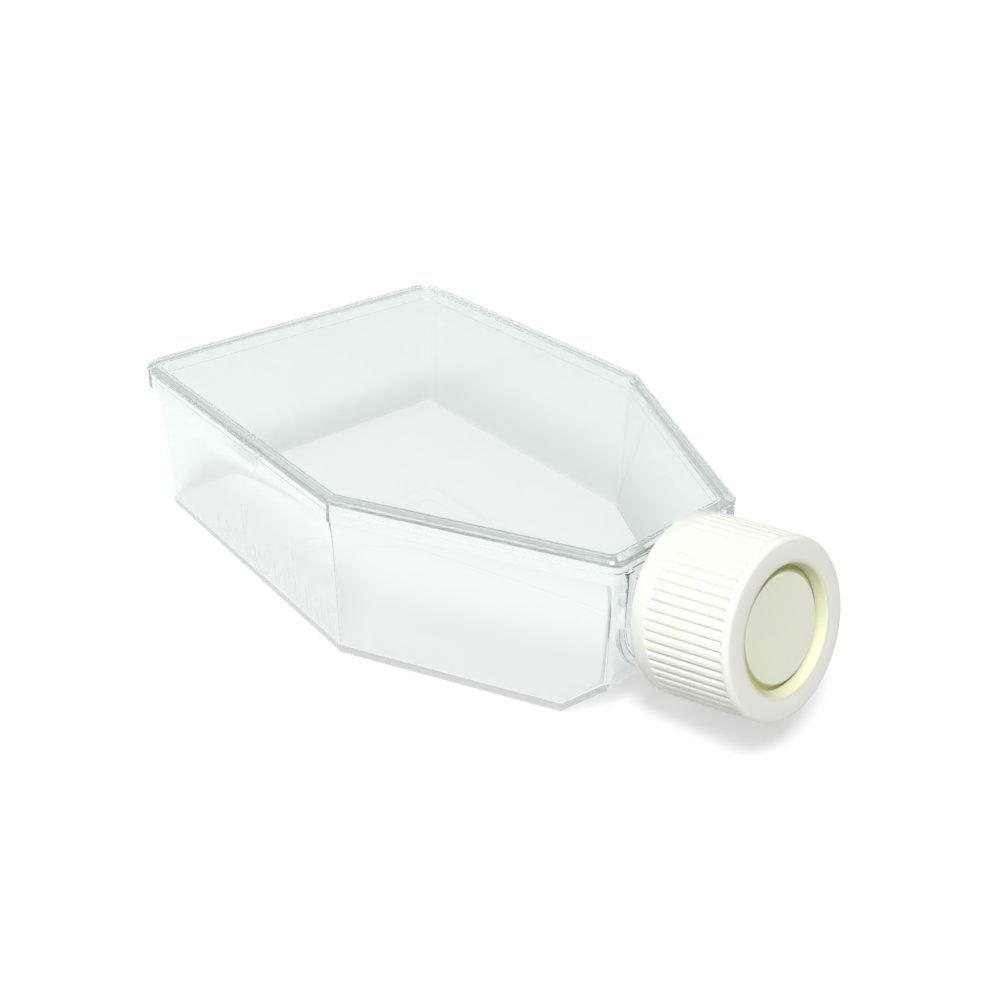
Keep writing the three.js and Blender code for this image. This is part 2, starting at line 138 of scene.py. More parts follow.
# The neck, with the pad round its root and the upright webs beside it.
NECK_RADIUS = 12.5
BORE_RADIUS = 11.0
BORE_REACH = 8  # how far the bore's cut starts inside the front wall
MOUTH_LEAD = 0.5
MOUTH_CHAMFER = 0.3
ROOT_RADIUS = 14.0
ROOT_FILLET = 0.4
PAD_THICKNESS = 1.0
PAD_EDGE_RADIUS = 0.25
WEB_WIDTH = 1.9
WEB_DEPTH = 2.1
WEB_BELOW = 0.4  # how far a web's foot lies below the neck's axis
WEB_EDGE_RADIUS = 0.22
NECK_BELOW_LAND = 0.25  # the barrel is cut off this far under the land, where it meets the rim

# The graduation ticks on the side wall at -Y: a row of plain short and long marks.
TICK_COUNT = 12
TICK_FIRST_X = 28.8
TICK_SPACING = 4.1
TICK_LONG_EVERY = 5
TICK_FIRST_LONG = 3
TICK_BOTTOM = 3.7
TICK_LENGTH = 5.6
TICK_LONG_LENGTH = 13.8
TICK_WIDTH = 0.6
TICK_HEIGHT = 0.03
TICK_RUN_OUT = 0.2
TICK_SUNK = 0.1

# The thread: a ridge on the neck, and one like it in the cap's bore.
THREAD_PITCH = 4.0
THREAD_TURNS = 1.6
THREAD_RUN_OUT = 1 / 6  # turns over which each end tapers away
THREAD_DEPTH = 1.0
THREAD_BASE = 2.0
THREAD_CREST = 0.8
THREAD_SUNK = 0.3  # how far its back lies inside the wall that it stands on
THREAD_SUNK_FLARE = 0.1  # how much wider that back is, at each side
THREAD_TO_MOUTH = 1.8

# The cap.
CAP_BORE = 13.9
CAP_TOP = 2.0
CAP_TAPER = 0.95  # the open end's extra radius
CAP_EDGE_RADIUS = 0.9
CAP_LEAD = 0.45
CAP_COLLAR = 3.0  # plain band at the open end
CAP_COUNTERBORE = 0.9  # the collar's extra inner radius
COUNTERBORE_CHAMFER = 0.3
CEILING_CHAMFER = 0.2
WINDOW_RADIUS = 11.05
WINDOW_SLOPE = 0.5  # the window narrows by this much with depth
WINDOW_LIP = 0.35
RIB_COUNT = 58
RIB_DEPTH = 0.5
RIB_CROWN = 0.42  # the crown's share of the way from a rib's middle to a groove's
RIB_CROWN_FALL = 0.08  # the crown's share of the groove's depth
RIB_RUN_OUT = 0.7  # length over which the grooves run out at each end
RIB_MARGIN = 0.2  # plain stretch beyond each end of the ribs

# The seal.
SEAL_GAP = 0.3  # under the cap's top
SEAL_FLANGE = 1.3
SEAL_CHAMFER = 0.2
DISC_RADIUS = 9.4
DISC_BEVEL = 0.35
DISC_FOOT = 1.1
PLUG_WALL = 1.1
PLUG_RADIUS = 10.65
PLUG_LENGTH = 3.2
PLUG_LEAD = 0.4
PLUG_EDGE_RADIUS = 0.2

# How fine the rounded stretches are.
CORNER_STEPS = {"rear": 20, "shoulder": 8, "front": 10}
FILLET_STEPS = 7
FLARE_STEPS = 14
BORDER_STEPS = 8
TICK_STEPS = 8
RUN_OUT_STEPS = 5
NECK_STEPS = 192
THREAD_STEPS_PER_TURN = 120
STEPS_PER_RIB = 12
SHARP_DEGREES = 32  # an edge where the faces turn by more than this is hard

LAND = HEIGHT - PLATE_THICKNESS  # the tray's flat upper face, which the plate is welded to
FLANGE_BOTTOM = LAND - FLANGE_DEPTH
FLARE_BOTTOM = FLANGE_BOTTOM - FLARE_HEIGHT
CAVITY_INSET = WALL_INSET + WALL
SHOULDER_X = REAR_X + SIDE_LENGTH
SHOULDER_SLOPE = math.atan2((RIM_WIDTH - FRONT_WIDTH) / 2, FRONT_X - SHOULDER_X)
FRONT_WALL_X = FRONT_X - WALL_INSET - WALL_DRAFT / 2
RAMP_START_X = FRONT_WALL_X - RAMP_RUN
RAMP_SLOPE = RAMP_RISE / RAMP_RUN
RAMP_FLOOR_LIFT = FLOOR * math.hypot(1, RAMP_SLOPE)
COLLAR_TOP = CAP_OPEN + CAP_COLLAR
RIBS_END = CAP_FACE - CAP_EDGE_RADIUS - RIB_MARGIN

OVERCUT = 1  # how far a cutting shape runs past what it cuts

# ------------------------------------------------------------------------------------------ mesh building


def mesh_object(name, bm):
    """Turns a bmesh in millimetres into an object in metres, with its faces pointing out."""
    bmesh.ops.recalc_face_normals(bm, faces=bm.faces)
    bmesh.ops.scale(bm, vec=(MM, MM, MM), verts=bm.verts)
    mesh = bpy.data.meshes.new(name)
    bm.to_mesh(mesh)
    bm.free()
    obj = bpy.data.objects.new(name, mesh)
    bpy.context.scene.collection.objects.link(obj)
    return obj


def bridge(bm, lower, upper):
    """Joins two rings of vertices by quads."""
    count = len(lower)
    for i in range(count):
        j = (i + 1) % count
        bm.faces.new((lower[i], lower[j], upper[j], upper[i]))


def loft(rings):
    """Joins rings of points into a skin that is capped at both ends."""
    bm = bmesh.new()
    rows = [[bm.verts.new(p) for p in ring] for ring in rings]
    for lower, upper in zip(rows, rows[1:]):
        bridge(bm, lower, upper)
    bm.faces.new(rows[0])
    bm.faces.new(rows[-1])
    return bm


def box(place):
    """A box whose corners, given as vectors of 0 and 1, are moved by place."""
    bm = bmesh.new()
    bmesh.ops.create_cube(bm, size=1)
    for vertex in bm.verts:
        vertex.co = place(vertex.co + Vector((0.5, 0.5, 0.5)))
    return bm


def revolved(profile, steps, radius_at=None):
    """Turns a profile of (radius, station, share) about the neck axis. One that starts and ends on the axis
    gets a pole at each end, and any other closes on itself. radius_at(radius, share, angle) shapes the rings.
    """
    bm = bmesh.new()
    rows = []
    for radius, station, share in profile:
        if radius == 0:
            rows.append([bm.verts.new((0, 0, station))])
            continue
        row = []
        for i in range(steps):
            angle = 2 * math.pi * i / steps
            r = radius_at(radius, share, angle) if radius_at else radius
            row.append(bm.verts.new((r * math.cos(angle), r * math.sin(angle), station)))
        rows.append(row)
    pairs = list(zip(rows, rows[1:]))
    if len(rows[0]) > 1:
        pairs.append((rows[-1], rows[0]))
    for lower, upper in pairs:
        if len(lower) > 1 and len(upper) > 1:
            bridge(bm, lower, upper)
            continue
        pole, ring = (lower[0], upper) if len(lower) == 1 else (upper[0], lower)
        for i in range(steps):
            bm.faces.new((pole, ring[i], ring[(i + 1) % steps]))
    bm.transform(NECK_FRAME)
    return bm


def eased(t):
    """Turns a steady 0 to 1 into one with a soft start and end."""
    return t * t * (3 - 2 * t)


def plain(outline):
    """The (radius, station) points of an outline as a profile that nothing shapes further."""
    return [(radius, station, 0) for radius, station in outline]


def arc(centre, radius, start, end, steps=FILLET_STEPS):
    """Points on an arc in a (radius, station) or (inset, z) plane, with its angles in degrees."""
    points = []
    for i in range(steps + 1):
        angle = math.radians(start + (end - start) * i / steps)
        points.append((centre[0] + radius * math.cos(angle), centre[1] + radius * math.sin(angle)))
    return points


def combine(whole, other, operation):
    """Joins other to whole, or cuts it away, and discards other."""
    modifier = whole.modifiers.new("combine", "BOOLEAN")
    modifier.object = other
    modifier.operation = operation
    modifier.solver = "MANIFOLD"
    graph = bpy.context.evaluated_depsgraph_get()
    mesh = bpy.data.meshes.new_from_object(whole.evaluated_get(graph))
    whole.modifiers.clear()
    old = whole.data
    whole.data = mesh
    mesh.name = old.name
    bpy.data.meshes.remove(old)
    bpy.data.meshes.remove(other.data)


def smooth(obj):
    """Shades a piece smooth, with hard edges where its faces turn sharply."""
    bm = bmesh.new()
    bm.from_mesh(obj.data)
    bmesh.ops.remove_doubles(bm, verts=bm.verts, dist=1e-7)
    bmesh.ops.dissolve_degenerate(bm, edges=bm.edges, dist=1e-7)
    for face in bm.faces:
        face.smooth = True
    limit = math.radians(SHARP_DEGREES)
    for edge in bm.edges:
        edge.smooth = not edge.is_manifold or edge.calc_face_angle(0) < limit
    bm.to_mesh(obj.data)
    bm.free()
    normals = obj.modifiers.new("flat faces stay flat", "WEIGHTED_NORMAL")
    normals.keep_sharp = True
    return obj


# ------------------------------------------------------------------------------------------- plan outline


def rounded(before, corner, after, radius, steps):
    """The arc that replaces a corner of a polygon."""
    back = (before - corner).normalized()
    ahead = (after - corner).normalized()
    half = math.acos(max(-1, min(1, back.dot(ahead)))) / 2
    middle = (back + ahead).normalized()
    centre = corner + middle * radius / math.sin(half)
    reach = radius / math.tan(half)
    first = corner + back * reach - centre
    sweep = math.pi - 2 * half
    turn = 1 if back.cross(ahead) < 0 else -1
    return [centre + Matrix.Rotation(turn * sweep * i / steps, 2) @ first for i in range(steps + 1)]


def plan_ring(z, inset, radii, ramp_lift=None, shoulder_back=0.0):
    """The flask's outline at one height, moved in by inset. Where the ramp passes that height, it ends the
    outline. shoulder_back moves the shoulders towards the rear."""
    front_x = FRONT_X - inset
    if ramp_lift is not None:
        front_x = min(front_x, RAMP_START_X + (z - ramp_lift) / RAMP_SLOPE)
    side_y = RIM_WIDTH / 2 - inset
    shoulder_x = SHOULDER_X - inset * math.tan(SHOULDER_SLOPE / 2) - shoulder_back
    front_y = side_y - (front_x - shoulder_x) * math.tan(SHOULDER_SLOPE)
    half = [
        ((REAR_X + inset, side_y), radii["rear"], CORNER_STEPS["rear"]),
        ((shoulder_x, side_y), radii["shoulder"], CORNER_STEPS["shoulder"]),
        ((front_x, front_y), radii["front"], CORNER_STEPS["front"]),
    ]
    near = [(Vector((x, -y)), radius, steps) for (x, y), radius, steps in half]
    far = [(Vector((x, y)), radius, steps) for (x, y), radius, steps in reversed(half)]
    corners = near + far
    points = []
    for i, (corner, radius, steps) in enumerate(corners):
        before = corners[i - 1][0]
        after = corners[(i + 1) % len(corners)][0]
        points += rounded(before, corner, after, radius, steps)
    return [Vector((p.x, p.y, z)) for p in points]


def corner_radii(mix, less=0.0):
    """The outside's corner radii: the wall's at mix 0, the rim's at mix 1, and less by what a tuck takes."""

    def blend(corner):
        return max(corner["wall"] + (corner["rim"] - corner["wall"]) * mix - less, SHARPEST_CORNER)

    return {"rear": blend(REAR_CORNER), "shoulder": blend(SHOULDER_CORNER), "front": blend(FRONT_CORNER)}


def cavity_ring(z, inset, less=0.0, ramp_lift=None):
    """The cavity's outline at one height, with its corner radii less what a tuck takes."""
    radii = {name: max(radius - less, SHARPEST_CORNER) for name, radius in CAVITY_CORNER.items()}
    return plan_ring(z, inset, radii, ramp_lift, CAVITY_SHOULDER_BACK)


def wall_inset(z):
    """How far the plain wall's outer face lies inside the rim: it leans in towards the ground."""
    return WALL_INSET + WALL_DRAFT * (1 - z / FLARE_BOTTOM)


# ----------------------------------------------------------------------------------------------- the body


def tray_outside():
    """Rings up the outside, from the underside to the land."""
    rings = []
    for tuck, z in arc((BASE_EDGE_RADIUS, BASE_EDGE_RADIUS), BASE_EDGE_RADIUS, 270, 180):
        rings.append(plan_ring(z, wall_inset(z) + tuck, corner_radii(0, tuck), ramp_lift=0))
    rings.append(plan_ring(RAMP_RISE, wall_inset(RAMP_RISE), corner_radii(0), ramp_lift=0))
    over_ramp = RAMP_RISE + RAMP_EDGE
    rings.append(plan_ring(over_ramp, wall_inset(over_ramp), corner_radii(0)))
    for i in range(FLARE_STEPS + 1):
        t = i / FLARE_STEPS
        inset = WALL_INSET - (WALL_INSET - FLANGE_LEDGE) * t * t
        rings.append(plan_ring(FLARE_BOTTOM + FLARE_HEIGHT * t, inset, corner_radii(t * t)))
    rim = corner_radii(1)
    edge = FLANGE_EDGE_RADIUS
    for inset, z in arc((edge, FLANGE_BOTTOM + edge), edge, 270, 180, steps=4):
        rings.append(plan_ring(z, inset, rim))
    lip = LAND - LIP_DEPTH
    for inset, z in arc((LIP_SETBACK, lip - LIP_SETBACK), LIP_SETBACK, 180, 90, steps=4):
        rings.append(plan_ring(z, inset, rim))
    for inset, z in arc((LIP_SETBACK + edge, LAND - edge), edge, 180, 90, steps=4):
        rings.append(plan_ring(z, inset, rim))
    return rings


def tray_inside():
    """Rings down the inside, from the land to the floor."""
    rings = []
    edge = CAVITY_EDGE_RADIUS
    for inset, z in arc((CAVITY_INSET - edge, LAND - edge), edge, 90, 0, steps=4):
        rings.append(cavity_ring(z, inset))
    rings.append(cavity_ring(FLARE_BOTTOM, CAVITY_INSET))
    ramp_top = RAMP_SLOPE * (FRONT_WALL_X - WALL - RAMP_START_X) + RAMP_FLOOR_LIFT
    rings.append(cavity_ring(ramp_top + RAMP_EDGE, wall_inset(ramp_top) + WALL))
    rings.append(cavity_ring(ramp_top, wall_inset(ramp_top) + WALL, 0, RAMP_FLOOR_LIFT))
    centre = FLOOR + FLOOR_FILLET
    for tuck, z in arc((FLOOR_FILLET, centre), FLOOR_FILLET, 180, 270):
        rings.append(cavity_ring(z, wall_inset(z) + WALL + tuck, tuck, RAMP_FLOOR_LIFT))
    return rings


def station_at_wall(x, radius, angle):
    """Where a line along the neck, at this radius and angle about its axis, crosses the plane at x."""
    foot = NECK_POINT.x + radius * math.cos(angle) * NECK_DOWN.x
    return (x - foot) / NECK_AXIS.x


def neck_ring(radius, station):
    """A ring about the neck axis. station is a number, or a function of the radius and angle."""
    points = []
    for i in range(NECK_STEPS):
        angle = 2 * math.pi * i / NECK_STEPS
        at = station(radius, angle) if callable(station) else station
        points.append(NECK_FRAME @ Vector((radius * math.cos(angle), radius * math.sin(angle), at)))
    return points


def cutter(name, low, high):
    """A plain box between two corners, to cut with."""

    def place(corner):
        return Vector(low[i] + (high[i] - low[i]) * corner[i] for i in range(3))

    return mesh_object(name, box(place))


def neck():
    """The neck's barrel with the raised pad round its root, from inside the front wall to the mouth."""

    def from_wall(offset):
        return lambda radius, angle: station_at_wall(FRONT_WALL_X + offset, radius, angle)

    edge = PAD_EDGE_RADIUS
    rings = [neck_ring(ROOT_RADIUS, from_wall(-WALL / 2))]
    for radius, offset in arc((ROOT_RADIUS - edge, PAD_THICKNESS - edge), edge, 0, 90, steps=4):
        rings.append(neck_ring(radius, from_wall(offset)))
    root = (NECK_RADIUS + ROOT_FILLET, PAD_THICKNESS + ROOT_FILLET)
    for radius, offset in arc(root, ROOT_FILLET, 270, 180, steps=4):
        rings.append(neck_ring(radius, from_wall(offset)))
    for radius, station in arc((NECK_RADIUS - MOUTH_LEAD, MOUTH - MOUTH_LEAD), MOUTH_LEAD, 0, 90, steps=5):
        rings.append(neck_ring(radius, station))
    piece = mesh_object("neck", loft(rings))
    back = FRONT_WALL_X - 2 * WALL
    over = LAND - NECK_BELOW_LAND
    below_wall = cutter("below wall", (back, -RIM_WIDTH, -HEIGHT), (FRONT_X, RIM_WIDTH, RAMP_RISE))
    over_land = cutter("over land", (back, -RIM_WIDTH, over), (FRONT_X - LIP_SETBACK, RIM_WIDTH, 2 * HEIGHT))
    combine(piece, below_wall, "DIFFERENCE")
    combine(piece, over_land, "DIFFERENCE")
    return piece


def web(side):
    """An upright web between the neck's side and the rim. Its foot runs along the neck."""
    low_y, high_y = sorted((side * ROOT_RADIUS, side * (ROOT_RADIUS - WEB_WIDTH)))
    back = FRONT_WALL_X - WALL / 2
    front = FRONT_WALL_X + WEB_DEPTH

    def place(corner):
        x = front if corner.x else back
        y = high_y if corner.y else low_y
        foot = NECK_POINT.z + (x - NECK_POINT.x) * math.tan(NECK_PITCH) - WEB_BELOW
        return Vector((x, y, LAND - LIP_DEPTH if corner.z else foot))

    bm = box(place)
    bmesh.ops.bevel(bm, geom=bm.edges, offset=WEB_EDGE_RADIUS, segments=4, profile=0.5, affect="EDGES")
    return mesh_object("web", bm)


def tick(x, length):
    """A graduation mark on the side wall: a low rounded rib that follows the wall's lean."""
    rings = []
    for z, share in ((0, 0), (TICK_RUN_OUT, 1), (length - TICK_RUN_OUT, 1), (length, 0)):
        height = TICK_BOTTOM + z
        wall_y = RIM_WIDTH / 2 - wall_inset(height)
        ring = []
        for i in range(TICK_STEPS + 1):
            angle = math.pi * i / TICK_STEPS
            out = TICK_HEIGHT * math.sin(angle) * share
            ring.append(Vector((x - TICK_WIDTH / 2 * math.cos(angle), -wall_y - out, height)))
        for way in (1, -1):
            ring.append(Vector((x + way * TICK_WIDTH / 2, -wall_y + TICK_SUNK, height)))
        rings.append(ring)
    return mesh_object("tick", loft(rings))


def thread(root, crest, phase):
    """A ridge along the common right-hand helix, tapered at both ends. Its back is sunk a little into the
    wall at the root radius."""
    steps = round(THREAD_TURNS * THREAD_STEPS_PER_TURN)
    taper = THREAD_STEPS_PER_TURN * THREAD_RUN_OUT
    sunk = root + math.copysign(THREAD_SUNK, root - crest)
    rings = []
    for i in range(steps + 1):
        turn = i / THREAD_STEPS_PER_TURN - THREAD_TURNS
        angle = 2 * math.pi * turn + phase
        full = min(1, (i + 1) / taper, (steps - i + 1) / taper)
        tip = root + (crest - root) * full
        section = [
            (sunk, -THREAD_BASE / 2),
            (root, -THREAD_BASE / 2 + THREAD_SUNK_FLARE),
            (tip, -THREAD_CREST / 2),
            (tip, THREAD_CREST / 2),
            (root, THREAD_BASE / 2 - THREAD_SUNK_FLARE),
            (sunk, THREAD_BASE / 2),
        ]
        station = MOUTH - THREAD_TO_MOUTH + turn * THREAD_PITCH
        ring = []
        for r, lift in section:
            ring.append(NECK_FRAME @ Vector((r * math.cos(angle), r * math.sin(angle), station + lift)))
        rings.append(ring)
    return mesh_object("thread", loft(rings))


def bore():
    """What the neck's bore cuts away, from inside the front wall to past the mouth."""
    start = station_at_wall(FRONT_WALL_X, 0, 0) - BORE_REACH
    end = MOUTH + OVERCUT
    wide = BORE_RADIUS + MOUTH_CHAMFER
    outline = [
        (0, start),
        (BORE_RADIUS, start),
        (BORE_RADIUS, MOUTH - MOUTH_CHAMFER),
        (wide, MOUTH),
        (wide, end),
        (0, end),
    ]
    return mesh_object("bore", revolved(plain(outline), NECK_STEPS))


def flask_body():
    """The tray with its neck, thread, webs and ticks, in one moulding."""
    body = mesh_object("flask_body_clear", loft(tray_outside() + tray_inside()))
    combine(body, neck(), "UNION")
    combine(body, thread(NECK_RADIUS, NECK_RADIUS + THREAD_DEPTH, 0), "UNION")
    for side in (-1, 1):
        combine(body, web(side), "UNION")
    combine(body, bore(), "DIFFERENCE")
    for i in range(TICK_COUNT):
        is_long = (i - TICK_FIRST_LONG) % TICK_LONG_EVERY == 0
        length = TICK_LONG_LENGTH if is_long else TICK_LENGTH
        combine(body, tick(REAR_X + TICK_FIRST_X + TICK_SPACING * i, length), "UNION")
    return body


# ------------------------------------------------------------------------------------------ the top plate


def top_plate():
    """The panel in the tray's mouth, the rim, and the border that steps down softly to the plate's face."""
    rim = corner_radii(1)
    face = {**rim, "rear": rim["rear"] - BORDER_WIDTH / 2}
    panel_inset = CAVITY_INSET + LOCATING_CLEARANCE
    underside = LAND + PLATE_GAP
    edge = LOCATING_EDGE_RADIUS
    rings = []
    for inset, z in arc((panel_inset + edge, LAND - LOCATING_DEPTH + edge), edge, 270, 180, steps=4):
        rings.append(cavity_ring(z, inset))
    rings.append(cavity_ring(underside, panel_inset))
    for inset, z in arc((PLATE_FOOT, underside + PLATE_FOOT), PLATE_FOOT, 270, 180, steps=3):
        rings.append(plan_ring(z, inset, rim))
    rings.append(plan_ring(HEIGHT - PLATE_EDGE, 0, rim))
    rings.append(plan_ring(HEIGHT, PLATE_EDGE, rim))
    for i in range(BORDER_STEPS + 1):
        t = i / BORDER_STEPS
        inset = BORDER_WIDTH + BORDER_SLOPE_RUN * (t - 0.5)
        rings.append(plan_ring(HEIGHT - BORDER_STEP * eased(t), inset, face))
    return mesh_object("top_plate_clear", loft(rings))


# ------------------------------------------------------------------------------------- the cap, the seal


def groove_share(angle):
    """How deep the ribbed side lies at an angle: 0 on the crown of a rib, 1 at the bottom of a groove."""
    turn = angle * RIB_COUNT / (2 * math.pi)
    across = 2 * abs(turn - math.floor(turn) - 0.5)
    flank = max(0.0, (across - RIB_CROWN) / (1 - RIB_CROWN))
    return RIB_CROWN_FALL * across * across + (1 - RIB_CROWN_FALL) * eased(flank)


def ribbed(radius, share, angle):
    return radius - RIB_DEPTH * share * groove_share(angle)


def screw_cap():
    """The ribbed shell: up its side, over its face, down the window and the bore, and back to its end."""
    face_radius = CAP_RIM_RADIUS - CAP_TAPER
    straight = CAP_FACE - CAP_EDGE_RADIUS

    def side_radius(station):
        return face_radius + CAP_TAPER * (straight - station) / (straight - CAP_OPEN)

    lead = (side_radius(CAP_OPEN) - CAP_LEAD, CAP_OPEN + CAP_LEAD)
    profile = plain(arc(lead, CAP_LEAD, 270, 360, steps=5))
    run_out = [i / RUN_OUT_STEPS for i in range(RUN_OUT_STEPS + 1)]
    side = [(COLLAR_TOP - RIB_MARGIN, 0)]
    side += [(COLLAR_TOP + RIB_RUN_OUT * t, math.sin(math.pi / 2 * t)) for t in run_out]
    side += [(RIBS_END - RIB_RUN_OUT * t, math.sin(math.pi / 2 * t)) for t in reversed(run_out)]
    profile += [(side_radius(station), station, share) for station, share in side]
    profile += plain(arc((face_radius - CAP_EDGE_RADIUS, straight), CAP_EDGE_RADIUS, 0, 90, steps=8))
    lip = (WINDOW_RADIUS + WINDOW_LIP, CAP_FACE - WINDOW_LIP)
    profile += plain(arc(lip, WINDOW_LIP, 90, 180, steps=6))
    ceiling = CAP_FACE - CAP_TOP
    counterbore = CAP_BORE + CAP_COUNTERBORE
    inside = [
        (WINDOW_RADIUS - WINDOW_SLOPE, ceiling),
        (CAP_BORE - CEILING_CHAMFER, ceiling),
        (CAP_BORE, ceiling - CEILING_CHAMFER),
        (CAP_BORE, COLLAR_TOP),
        (counterbore, COLLAR_TOP - CAP_COUNTERBORE),
        (counterbore, CAP_OPEN + COUNTERBORE_CHAMFER),
        (counterbore + COUNTERBORE_CHAMFER, CAP_OPEN),
    ]
    cap = mesh_object("screw_cap_shell", revolved(profile + plain(inside), RIB_COUNT * STEPS_PER_RIB, ribbed))
    combine(cap, thread(CAP_BORE, CAP_BORE - THREAD_DEPTH, math.pi), "UNION")
    return cap


def cap_seal():
    """The flange under the cap's top, the plug below it and the disc that shows in the window."""
    flange_top = CAP_FACE - CAP_TOP - SEAL_GAP
    flange_bottom = flange_top - SEAL_FLANGE
    plug_end = flange_bottom - PLUG_LENGTH
    plug_inside = PLUG_RADIUS - PLUG_WALL
    edge = PLUG_EDGE_RADIUS
    outline = [(0, flange_bottom), (plug_inside, flange_bottom)]
    outline += arc((plug_inside + edge, plug_end + edge), edge, 180, 270, steps=4)
    outline += arc((PLUG_RADIUS - PLUG_LEAD, plug_end + PLUG_LEAD), PLUG_LEAD, 270, 360, steps=5)
    outline += [
        (PLUG_RADIUS, flange_bottom),
        (SEAL_RADIUS - SEAL_CHAMFER, flange_bottom),
        (SEAL_RADIUS, flange_bottom + SEAL_CHAMFER),
        (SEAL_RADIUS, flange_top - SEAL_CHAMFER),
        (SEAL_RADIUS - SEAL_CHAMFER, flange_top),
    ]
    outline += arc((DISC_RADIUS + DISC_FOOT, flange_top + DISC_FOOT), DISC_FOOT, 270, 180, steps=5)
    outline += arc((DISC_RADIUS - DISC_BEVEL, DISC_FACE - DISC_BEVEL), DISC_BEVEL, 0, 90)
    outline.append((0, DISC_FACE))
    return mesh_object("cap_seal_disc", revolved(plain(outline), NECK_STEPS))


# ------------------------------------------------------------------------------------------ shader nodes


def feed(tree, socket, source):
    """Links an input socket to an output socket, or sets it to a number or colour."""
    if isinstance(source, bpy.types.NodeSocket):
        tree.links.new(source, socket)
    else:
        socket.default_value = source


def material(name):
    """A new material, its node tree, its shader and its output."""
    mat = bpy.data.materials.new(name)
    mat.use_nodes = True
    tree = mat.node_tree
    return mat, tree, tree.nodes["Principled BSDF"], tree.nodes["Material Output"]


def coordinates(tree):
    return tree.nodes.new("ShaderNodeTexCoord").outputs


def noise(tree, place, scale, detail):
    texture = tree.nodes.new("ShaderNodeTexNoise")
    texture.inputs["Scale"].default_value = scale
    texture.inputs["Detail"].default_value = detail
    feed(tree, texture.inputs["Vector"], place)
    return texture.outputs["Fac"]


def spread(tree, source, low, high):
    """Maps a 0 to 1 value onto a range."""
    mapping = tree.nodes.new("ShaderNodeMapRange")
    mapping.inputs["To Min"].default_value = low
    mapping.inputs["To Max"].default_value = high
    feed(tree, mapping.inputs["Value"], source)
    return mapping.outputs["Result"]


def rise(tree, source, start, end):
    """Turns smoothly from 0 to 1 as a value goes from start to end."""
    mapping = tree.nodes.new("ShaderNodeMapRange")
    mapping.interpolation_type = "SMOOTHSTEP"
    mapping.inputs["From Min"].default_value = start
    mapping.inputs["From Max"].default_value = end
    feed(tree, mapping.inputs["Value"], source)
    return mapping.outputs["Result"]


def rise_mm(tree, source, start, end):
    """rise() for a source in metres, with its start and end in millimetres."""
    return rise(tree, source, start * MM, end * MM)


def bump(tree, height, distance, strength):
    node = tree.nodes.new("ShaderNodeBump")
    node.inputs["Distance"].default_value = distance
    node.inputs["Strength"].default_value = strength
    feed(tree, node.inputs["Height"], height)
    return node.outputs["Normal"]


def math_node(tree, operation, *sources):
    """A Math node on one or two sockets or numbers."""
    node = tree.nodes.new("ShaderNodeMath")
    node.operation = operation
    for socket, source in zip(node.inputs, sources):
        feed(tree, socket, source)
    return node.outputs[0]


def product(tree, *sources):
    return functools.reduce(lambda first, second: math_node(tree, "MULTIPLY", first, second), sources)


def any_of(tree, *sources):
    """1 where any of the given 0 or 1 values is 1."""
    return functools.reduce(lambda first, second: math_node(tree, "MAXIMUM", first, second), sources)


def components(tree, vector):
    node = tree.nodes.new("ShaderNodeSeparateXYZ")
    feed(tree, node.inputs["Vector"], vector)
    return node.outputs


def length_of(tree, vector):
    node = tree.nodes.new("ShaderNodeVectorMath")
    node.operation = "LENGTH"
    feed(tree, node.inputs[0], vector)
    return node.outputs["Value"]


def mix_colour(tree, factor, first, second):
    node = tree.nodes.new("ShaderNodeMix")
    node.data_type = "RGBA"
    feed(tree, node.inputs["Factor"], factor)
    feed(tree, node.inputs["A"], first)
    feed(tree, node.inputs["B"], second)
    return node.outputs["Result"]


def mix_shader(tree, factor, first, second):
    node = tree.nodes.new("ShaderNodeMixShader")
    for socket, source in zip(node.inputs, (factor, first, second)):
        feed(tree, socket, source)
    return node.outputs["Shader"]


# ---------------------------------------------------------------------------------------------- materials

WALL_TINT = (0.88, 0.925, 0.918)
SHEET_TINT = (0.835, 0.88, 0.872)
FLOOR_TINT = (0.985, 1.0, 0.995)
CAP_IVORY = (0.925, 0.935, 0.865)
# Painted shade: the next colour is a darker, yellower ivory for the cap's rib grooves and window wall, where
# shade falls.
CAP_PAINTED_SHADE = (0.82, 0.83, 0.65)
SEAL_IVORY = (0.9, 0.925, 0.77)
# Painted shade: the next colour is a darker, yellower ivory for the seal's flange in the groove round its disc,
# where shade falls.
SEAL_PAINTED_SHADE = (0.82, 0.81, 0.38)
FLOOR_TINT_TOP = 1.4  # the height where the floor's tint starts to turn into the wall's
WALL_TINT_BOTTOM = 2.4
INNER_TINT = (0.62, 0.66, 0.63)
INNER_DENSITY = 9
INDEX = {"polystyrene": 1.59, "polyethylene": 1.51}
STRAIGHT_THROUGH = 0.998  # of the lamplight that meets a wall face on
GRAZING_POWER = 2.7
MOTTLE = 0.97  # the darker spots' share of a colour
GRAIN = 0.05  # how far the moulded grain takes the roughness up and down

# Where the ivory turns into its painted shade: each pair is where that starts and where it is full.
SHADED_GROOVE = (0.22, 0.48)  # distance from a rib's crown, as a share of the pitch
SHADED_SIDE = (CAP_BORE + 0.2, CAP_BORE + 0.4)
SHADED_WINDOW = (WINDOW_RADIUS + 0.8, WINDOW_RADIUS + 0.3)
SHADED_FLANGE = (DISC_RADIUS - 0.4, DISC_RADIUS + 0.5)
GROOVE_SHARE = 0.25  # how much of that shade the grooves between the ribs take


